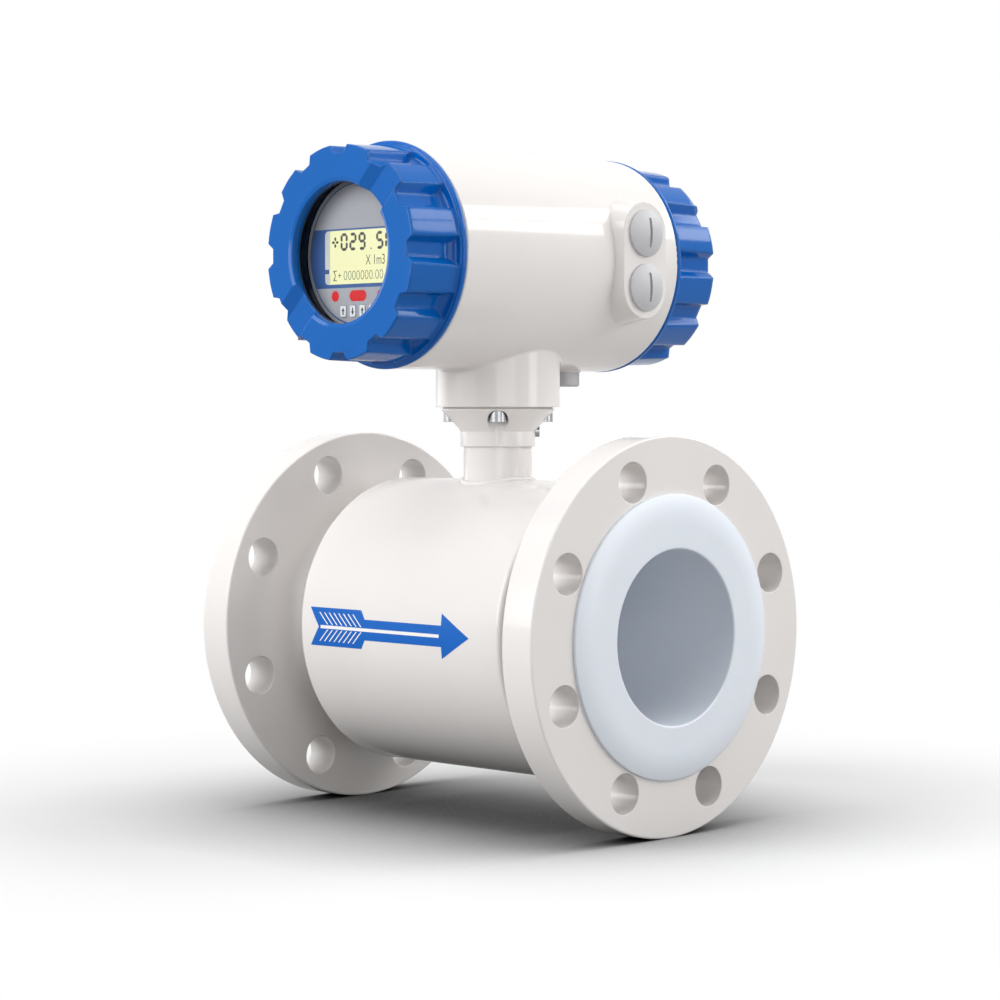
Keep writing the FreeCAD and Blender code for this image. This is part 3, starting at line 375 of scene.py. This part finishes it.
def makeFlowArrow():
    # blue arrow stencilled on the drum: a notched tail, a straight shaft and a plain head
    arrow = {
        "notch": -62.6 * mm, "tailStart": -70.4 * mm, "tailHalf": 11.2 * mm, "tailEnd": -26.6 * mm,
        "shaftStart": -23.2 * mm, "shaftHalf": 6 * mm, "headBase": 40.1 * mm, "headHalf": 12.8 * mm,
        "tip": 62.4 * mm, "rows": 1.5 * mm, "lift": 0.04 * mm, "coat": 0.08 * mm, "clear": 10 * mm,
    }
    before = -drumRadius - arrow["clear"]  # drawn clear of the drum, then laid on it
    upper = [(arrow["tailStart"], arrow["tailHalf"]), (arrow["tailEnd"], arrow["tailHalf"]),
             (arrow["shaftStart"], arrow["shaftHalf"]), (arrow["headBase"], arrow["shaftHalf"]),
             (arrow["headBase"], arrow["headHalf"]), (arrow["tip"], 0)]
    lower = [(x, -z) for x, z in reversed(upper[:-1])]
    piece = flatPiece([upper + lower + [(arrow["notch"], 0)]], before, 0)
    wrapOnDrum(piece, arrow["rows"], arrow["lift"], arrow["coat"])
    # stencilled enamel: the covers' blue, thin and even, half matte
    blue = simpleFinish("stencilledBlueEnamel", "#0262be", "#025cb4", 1.5 * mm, 0.003 * mm, 0.4,
                        edge=0.01 * mm, Specular_IOR_Level=0.2)
    placePiece(piece, "flow_arrow", blue, "meter", None)

    # white lines over it: one along the shaft, and the feathers' barbs on both sides of the tail
    line = {
        "start": -61 * mm, "end": 38.5 * mm, "half": 0.95 * mm, "barbStart": -55.2 * mm, "pitch": 4.1 * mm,
        "count": 8, "width": 0.95 * mm, "low": 1.5 * mm, "high": 8.4 * mm, "lean": 7.3 * mm,
    }
    outlines = [[(line["start"], -line["half"]), (line["end"], -line["half"]),
                 (line["end"], line["half"]), (line["start"], line["half"])]]
    for side in (1, -1):
        low, high = side * line["low"], side * line["high"]
        for i in range(line["count"]):
            left = line["barbStart"] + i * line["pitch"]
            right, lean = left + line["width"], line["lean"]
            outlines.append([(left, low), (right, low), (right - lean, high), (left - lean, high)])
    piece = flatPiece(outlines, before, 0)
    wrapOnDrum(piece, arrow["rows"], arrow["lift"] + arrow["coat"], arrow["coat"])
    # stencilled enamel: white, thin and even, half matte
    white = simpleFinish("stencilledWhiteEnamel", "#f1efee", "#ebe9e7", 1.5 * mm, 0.003 * mm, 0.4,
                         edge=0.01 * mm)
    placePiece(piece, "flow_arrow_lines", white, "meter", None)
    print("flow arrow made")


def segmentOutline(middle, half, thick, upright):  # one bar of a figure, pointed at both ends
    across = half - thick
    bar = [(-half, 0), (-across, -thick), (across, -thick), (half, 0), (across, thick), (-across, thick)]
    if upright:
        bar = [(-v, u) for u, v in bar]
    return [(middle[0] + u, middle[1] + v) for u, v in bar]


def makeReading(front, thickness, ink):
    # a signed reading in pointed bars, whose last figure is a one at the window's right edge
    row = {
        "bottom": axisHeight + 1.9 * mm, "height": 10.0 * mm, "bar": 0.85 * mm, "gap": 0.12 * mm,
        "width": 6.0 * mm, "figures": [(-14.1 * mm, "abcdef"), (-6.7 * mm, "abged"), (0.9 * mm, "abcdfg"),
                                       (15.5 * mm, "afgcd"), (22.9 * mm, "ef")],
    }
    dot = {"middle": 11.3 * mm, "rise": 0.6 * mm, "half": 0.62 * mm, "bar": 0.6 * mm}
    sign = {"middle": -18.6 * mm, "across": 1.6 * mm, "up": 1.9 * mm, "half": 1.3 * mm, "bar": 0.75 * mm}
    bars = {  # each bar's place across and up the figure, and whether it stands
        "a": (0.5, 1.0, False), "b": (1.0, 0.75, True), "c": (1.0, 0.25, True), "d": (0.5, 0.0, False),
        "e": (0.0, 0.25, True), "f": (0.0, 0.75, True), "g": (0.5, 0.5, False),
    }
    wide, tall = row["width"] - 2 * row["bar"], row["height"] - 2 * row["bar"]
    outlines = []
    for start, names in row["figures"]:
        for name in names:
            u, v, upright = bars[name]
            middle = (start + row["bar"] + u * wide, row["bottom"] + row["bar"] + v * tall)
            half = (tall / 4 if upright else wide / 2) - row["gap"]
            outlines.append(segmentOutline(middle, half, row["bar"], upright))
    signHeight = row["bottom"] + row["height"] / 2
    for u, v, upright in ((-1, 0, False), (1, 0, False), (0, -1, True), (0, 1, True)):
        middle = (sign["middle"] + u * sign["across"], signHeight + v * sign["up"])
        outlines.append(segmentOutline(middle, sign["half"], sign["bar"], upright))
    middle = (dot["middle"], row["bottom"] + dot["rise"])
    outlines.append(segmentOutline(middle, dot["half"], dot["bar"], False))
    placePiece(flatPiece(outlines, front, thickness), "lcd_figures", ink, "meter")


def makeTotalSigns(front, thickness, ink):
    # a sum sign and a plus before the running total, in thin strokes
    sign = {
        "left": -20.2 * mm, "bottom": axisHeight - 14.9 * mm, "width": 2.9 * mm, "height": 5.8 * mm,
        "stroke": 0.45 * mm, "bend": 0.55, "plus": -14.9 * mm, "plusHalf": 1.3 * mm,
        "plusMiddle": axisHeight - 11.9 * mm, "plusStroke": 0.2 * mm,
    }
    left, right, bottom = sign["left"], sign["left"] + sign["width"], sign["bottom"]
    top, stroke, waist = bottom + sign["height"], sign["stroke"], bottom + sign["height"] / 2
    bend = left + sign["width"] * sign["bend"]
    sumSign = [(left, bottom), (right, bottom), (right, bottom + stroke), (left + 2 * stroke, bottom + stroke),
               (bend + stroke, waist), (left + 2 * stroke, top - stroke), (right, top - stroke), (right, top),
               (left, top), (left, top - stroke), (bend, waist), (left, bottom + stroke)]
    x, z, reach, half = sign["plus"], sign["plusMiddle"], sign["plusHalf"], sign["plusStroke"]
    across = [(x - reach, z - half), (x + reach, z - half), (x + reach, z + half), (x - reach, z + half)]
    upright = [(x - half, z + half), (x + half, z + half), (x + half, z + reach), (x - half, z + reach)]
    foot = [(x - half, z - reach), (x + half, z - reach), (x + half, z - half), (x - half, z - half)]
    piece = flatPiece([sumSign, across, upright, foot], front, thickness)
    placePiece(piece, "lcd_signs", ink, "meter")


def makeWords(front, thickness, ink):
    # the unit and the running total, each stretched to its own place; heights are from the axis
    words = [
        {"name": "lcd_unit", "text": "X 1m3", "left": 6.9 * mm, "right": 22.6 * mm, "low": -6.5 * mm,
         "high": -0.9 * mm, "swell": -0.004},
        {"name": "lcd_total", "text": "0000000.00", "left": -11.4 * mm, "right": 21.2 * mm, "low": -14.6 * mm,
         "high": -9.5 * mm, "swell": -0.02},
    ]
    for word in words:
        clearSelection()
        bpy.ops.object.text_add(location=(0, 0, 0))
        piece = bpy.context.object
        piece.data.body = word["text"]
        piece.data.offset = word["swell"]  # thins the strokes
        bpy.ops.object.convert(target="MESH")
        piece = bpy.context.object
        xs = [point.co.x for point in piece.data.vertices]
        ys = [point.co.y for point in piece.data.vertices]
        wide = (word["right"] - word["left"]) / (max(xs) - min(xs))
        tall = (word["high"] - word["low"]) / (max(ys) - min(ys))
        piece.scale = (wide, tall, 1)
        piece.rotation_euler.x = math.radians(90)
        piece.location = (word["left"] - min(xs) * wide, front, axisHeight + word["low"] - min(ys) * tall)
        bpy.ops.object.transform_apply(location=True, rotation=True, scale=True)
        applyModifier(piece, "SOLIDIFY", {"thickness": thickness, "offset": -1.0})
        placePiece(piece, word["name"], ink, "meter")


def makeCrystalFrame():
    # pale frame strip of the crystal, seen at the window's left edge, with the notch of its connector
    strip = {"width": 4.2 * mm, "corner": 2.5 * mm, "steps": 5, "notchLow": -10.8 * mm, "notchHigh": -8.2 * mm,
             "notchShort": 0.6 * mm, "lift": 0.01 * mm, "thickness": 0.12 * mm}
    left, right = lensLow.x, lensLow.x + strip["width"]
    notchLow, notchHigh = axisHeight + strip["notchLow"], axisHeight + strip["notchHigh"]
    front = lensLow.y - strip["lift"]

    def corner(z, first):  # a quarter round about the corner's centre at height z, from the angle first
        turns = [math.radians(first + 90 * i / strip["steps"]) for i in range(strip["steps"] + 1)]
        return [(left + strip["corner"] * (1 + math.cos(turn)), z + strip["corner"] * math.sin(turn))
                for turn in turns]

    upper = [(left, notchHigh), (right, notchHigh), (right, lensHigh.z),
             *corner(lensHigh.z - strip["corner"], 90)]
    lower = [(right, lensLow.z), (right, notchLow), (left, notchLow), *corner(lensLow.z + strip["corner"], 180)]
    # moulded plastic: pale grey, dull
    grey = simpleFinish("paleMouldedFrame", "#c3c8c4", "#b7bcb9", 0.6 * mm, 0.005 * mm, 0.45, edge=0.02 * mm)
    placePiece(flatPiece([upper, lower], front, strip["thickness"]), "lcd_frame", grey, "meter")
    notchRight = right - strip["notchShort"]
    notch = [(left, notchLow), (notchRight, notchLow), (notchRight, notchHigh), (left, notchHigh)]
    # screen print: the band's dark blue, flat
    blue = simpleFinish("darkBluePrint", "#24508f", "#1f4883", 0.6 * mm, 0.002 * mm, 0.4, edge=0.01 * mm)
    placePiece(flatPiece([notch], front, strip["thickness"] / 2), "lcd_notch", blue, "meter")


def makeKeyMarks(ink):
    # a small arrow on each key: up, down, up, down
    mark = {"head": 1.3 * mm, "headLength": 2.0 * mm, "stem": 0.5 * mm, "stemLength": 2.0 * mm,
            "shift": 0.1 * mm, "lift": 0.01 * mm, "thickness": 0.05 * mm}
    for number in (1, 2, 3, 4):
        keyLow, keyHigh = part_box("display_key_%d" % number)
        x, z = (keyLow.x + keyHigh.x) / 2, (keyLow.z + keyHigh.z) / 2
        up = 1 if number % 2 else -1
        base = z + up * mark["shift"]
        head = [(x - mark["head"], base), (x + mark["head"], base), (x, base + up * mark["headLength"])]
        foot = base - up * mark["stemLength"]
        stem = [(x - mark["stem"], foot), (x + mark["stem"], foot), (x + mark["stem"], base),
                (x - mark["stem"], base)]
        piece = flatPiece([head, stem], keyLow.y - mark["lift"], mark["thickness"])
        placePiece(piece, "key_mark_%d" % number, ink, "display_key_%d_body" % number)


def makeDisplay():
    # what the liquid crystal shows, its frame, and the marks on the keys
    crystal = {"lift": 0.02 * mm, "thickness": 0.06 * mm}
    front = lensLow.y - crystal["lift"]
    # darkened liquid crystal: greenish black, flat
    ink = simpleFinish("crystalBlack", "#17180f", "#101109", 0.5 * mm, 0.002 * mm, 0.4, edge=0.01 * mm)
    makeReading(front, crystal["thickness"], ink)
    makeTotalSigns(front, crystal["thickness"], ink)
    makeWords(front, crystal["thickness"], ink)
    makeCrystalFrame()
    makeKeyMarks(ink)
    print("display made")


def makeNeckWeld(finishes):
    # the bead where the neck is welded to the drum: a painted-over ring of small uneven ripples
    bead = {"beyondPipe": 0.8 * mm, "thickness": 1.6 * mm, "above": 0.3 * mm, "ripple": 1.3 * mm,
            "size": 2.6 * mm, "around": 120, "across": 16}
    clearSelection()
    bpy.ops.mesh.primitive_torus_add(major_segments=bead["around"], minor_segments=bead["across"],
                                     major_radius=pipeRadius + bead["beyondPipe"],
                                     minor_radius=bead["thickness"])
    piece = bpy.context.object
    for point in piece.data.vertices:  # the ring drops with the drum's round back
        point.co.z += math.sqrt(drumRadius ** 2 - point.co.y ** 2) + bead["above"]
    ripples = bpy.data.textures.new("weldRipples", "CLOUDS")
    ripples.noise_scale = bead["size"]
    uneven = {"texture": ripples, "texture_coords": "LOCAL", "strength": bead["ripple"], "mid_level": 0.5}
    applyModifier(piece, "DISPLACE", uneven)
    placePiece(piece, "neck_weld", finishes["housing_paint"], "meter", 60)
    print("neck weld made")


def makePlugHeads(finishes):
    # the blanking plugs' heads: turned domes with one screwdriver slot
    dome = {"radius": 13.9 * mm, "edge": 1.7 * mm, "height": 3.4 * mm, "steps": 8, "facets": 96,
            "slotLength": 17 * mm, "slotWidth": 2 * mm, "slotDepth": 1.9 * mm}
    sphere = (dome["radius"] ** 2 + dome["height"] ** 2) / (2 * dome["height"])  # the dome's own radius
    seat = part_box("conduit_plug_seals")[0].x
    for node in ("upper_conduit_plug", "lower_conduit_plug"):
        low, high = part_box(node)
        clearSelection()
        bpy.ops.mesh.primitive_cylinder_add(vertices=dome["facets"], radius=dome["radius"], depth=dome["edge"])
        piece = bpy.context.object
        pick(piece, lambda co: co.z > 0)
        done, risen = dome["radius"], 0.0
        for step in range(1, dome["steps"] + 1):  # the last ring leaves a small flat in the middle
            reach = dome["radius"] * (1 - step / (dome["steps"] + 0.5))
            rise = math.sqrt(sphere ** 2 - reach ** 2) - (sphere - dome["height"])
            bpy.ops.mesh.inset(thickness=done - reach, depth=0)
            bpy.ops.transform.translate(value=(0, 0, rise - risen))
            done, risen = reach, rise
        bpy.ops.object.mode_set(mode="OBJECT")
        clearSelection()
        bpy.ops.mesh.primitive_cube_add(size=1, location=(0, 0, dome["edge"] / 2 + dome["height"]))
        slot = bpy.context.object
        slot.scale = (dome["slotLength"], dome["slotWidth"], 2 * dome["slotDepth"])
        bpy.ops.object.transform_apply(location=False, rotation=False, scale=True)
        applyModifier(piece, "BOOLEAN", {"operation": "DIFFERENCE", "object": slot, "solver": "EXACT"})
        bpy.data.objects.remove(slot)
        piece.rotation_euler.y = math.radians(90)
        piece.location = (seat + dome["edge"] / 2, (low.y + high.y) / 2, (low.z + high.z) / 2)
        placePiece(piece, node.split("_")[0] + "_plug_head", finishes["plug_metal"], "meter")
        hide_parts(node)
    print("plug heads made")


def areaLight(name, lamp):  # the lamps stand round a point low on the neck and face it
    aim = Vector((0, 0, 0.1))
    toward = Vector(lamp["from"]).normalized()
    bpy.ops.object.light_add(type="AREA", location=aim + toward * lamp["away"])
    light = bpy.context.object
    light.name = name
    light.data.shape = "RECTANGLE"
    light.data.size = lamp["width"]
    light.data.size_y = lamp["height"]
    light.data.energy = lamp["glow"] * math.pi * lamp["width"] * lamp["height"]
    light.rotation_euler = (-toward).to_track_quat("-Z", "Y").to_euler()


def seenStraight(tree):  # 1 for what is seen, also in gloss and through glass, and 0 for the light's own way
    rays = addNode(tree, "ShaderNodeLightPath").node.outputs
    seen = addNode(tree, "ShaderNodeMath", {"operation": "MAXIMUM"},
                   {0: rays["Is Camera Ray"], 1: rays["Is Glossy Ray"]})
    return addNode(tree, "ShaderNodeMath", {"operation": "MAXIMUM"}, {0: seen, 1: rays["Is Transmission Ray"]})


def makeFloor(white):
    floorLook = {"size": 12.0, "colour": "#909090", "seenColour": "#dedede", "plainRadius": 0.25,
                 "whiteRadius": 0.5, "paintedShadowReach": 0.16}
    clearSelection()
    bpy.ops.mesh.primitive_plane_add(size=floorLook["size"], location=(0, 0, floorHeight))
    floor = bpy.context.object
    floor.name = "floor"
    # matte floor paint: pale and even, with painted shadow (ambient occlusion in its colour) close to what
    # stands on it, and white further out
    made, tree, shader = startMaterial("palePaintedFloor", {"Roughness": 0.9, "Specular IOR Level": 0.0})
    place = addNode(tree, "ShaderNodeTexCoord", give="Object")
    radius = addNode(tree, "ShaderNodeVectorMath", {"operation": "LENGTH"}, {0: place}, "Value")
    spread = {"Value": radius, "From Min": floorLook["plainRadius"], "From Max": floorLook["whiteRadius"]}
    fade = addNode(tree, "ShaderNodeMapRange", {"interpolation_type": "SMOOTHSTEP"}, spread)
    seen = seenStraight(tree)
    tones = {mixShare: seen, mixFirst: linear(floorLook["colour"]), mixSecond: linear(floorLook["seenColour"])}
    plain = addNode(tree, "ShaderNodeMix", {"data_type": "RGBA"}, tones, mixResult)
    paintedShadowInputs = {"Color": plain, "Distance": floorLook["paintedShadowReach"]}
    # painted shadow: ambient occlusion darkens the floor's colour close to the object, over the reach given
    tone = addNode(tree, "ShaderNodeAmbientOcclusion", {"samples": 8}, paintedShadowInputs)
    tree.links.new(tone, shader.inputs["Base Color"])
    share = addNode(tree, "ShaderNodeMath", {"operation": "MULTIPLY"}, {0: fade, 1: seen})
    far = addNode(tree, "ShaderNodeEmission", {}, {"Color": white, "Strength": 1.0})
    mixed = addNode(tree, "ShaderNodeMixShader", {}, {0: share, 1: shader.outputs[0], 2: far})
    tree.links.new(mixed, tree.nodes["Material Output"].inputs["Surface"])
    floor.data.materials.append(made)


def makeStudio():
    white = linear("#ffffff")
    makeFloor(white)
    ambient = 0.27  # what the white surroundings give as light
    world = bpy.data.worlds.new("paleStudio")
    bpy.context.scene.world = world
    world.use_nodes = True
    tree = world.node_tree
    level = {"Value": seenStraight(tree), "To Min": ambient, "To Max": 1.0}
    strength = addNode(tree, "ShaderNodeMapRange", {}, level)
    back = tree.nodes["Background"]
    back.inputs["Color"].default_value = white
    tree.links.new(strength, back.inputs["Strength"])

    # each lamp's direction, distance and size, and how bright its face looks, 1 being white
    lamps = {
        "topLight": {"from": (0.05, -0.1, 1), "away": 2.0, "width": 2.0, "height": 2.0, "glow": 2.0},
        "frontLight": {"from": (-0.35, -1, 0.38), "away": 2.2, "width": 1.8, "height": 1.4, "glow": 5.0},
        "fillLight": {"from": (0.85, -0.5, 0.1), "away": 2.2, "width": 1.4, "height": 1.4, "glow": 1.9},
        "endLight": {"from": (-1, -0.1, 0.1), "away": 2.2, "width": 1.4, "height": 1.4, "glow": 1.6},
        "upperStripLight": {"from": (0.378, 0.727, 0.573), "away": 2.0, "width": 2.6, "height": 0.245,
                            "glow": 6.5},
        "lowerStripLight": {"from": (0.528, 0.727, 0.4395), "away": 2.0, "width": 2.6, "height": 0.245,
                            "glow": 6.5},
        "sideStripLight": {"from": (0.92, 0.39, 0.05), "away": 2.0, "width": 0.6, "height": 1.6, "glow": 3.2},
    }
    for name, lamp in lamps.items():
        areaLight(name, lamp)
    bpy.context.scene.view_settings.view_transform = "Standard"
    print("studio ready")


def makeCamera():
    view = {"place": (1.1442, -1.1484, 0.1288), "back": (0.6865, -0.7270, 0.0145), "lens": 98.56, "sensor": 36,
            "shift": (-0.0713, -0.0540), "near": 0.05, "far": 50}
    bpy.ops.object.camera_add(location=view["place"])
    camera = bpy.context.object
    camera.data.lens = view["lens"]
    camera.data.sensor_width = view["sensor"]
    camera.data.shift_x, camera.data.shift_y = view["shift"]
    camera.data.clip_start = view["near"]
    camera.data.clip_end = view["far"]
    camera.rotation_euler = (-Vector(view["back"])).to_track_quat("-Z", "Y").to_euler()
    bpy.context.scene.camera = camera
    print("camera set")


clearSelection()
makeCamera()
makeStudio()
finishes = makeMaterials()
makeFlowArrow()
makeDisplay()
makeNeckWeld(finishes)
makePlugHeads(finishes)
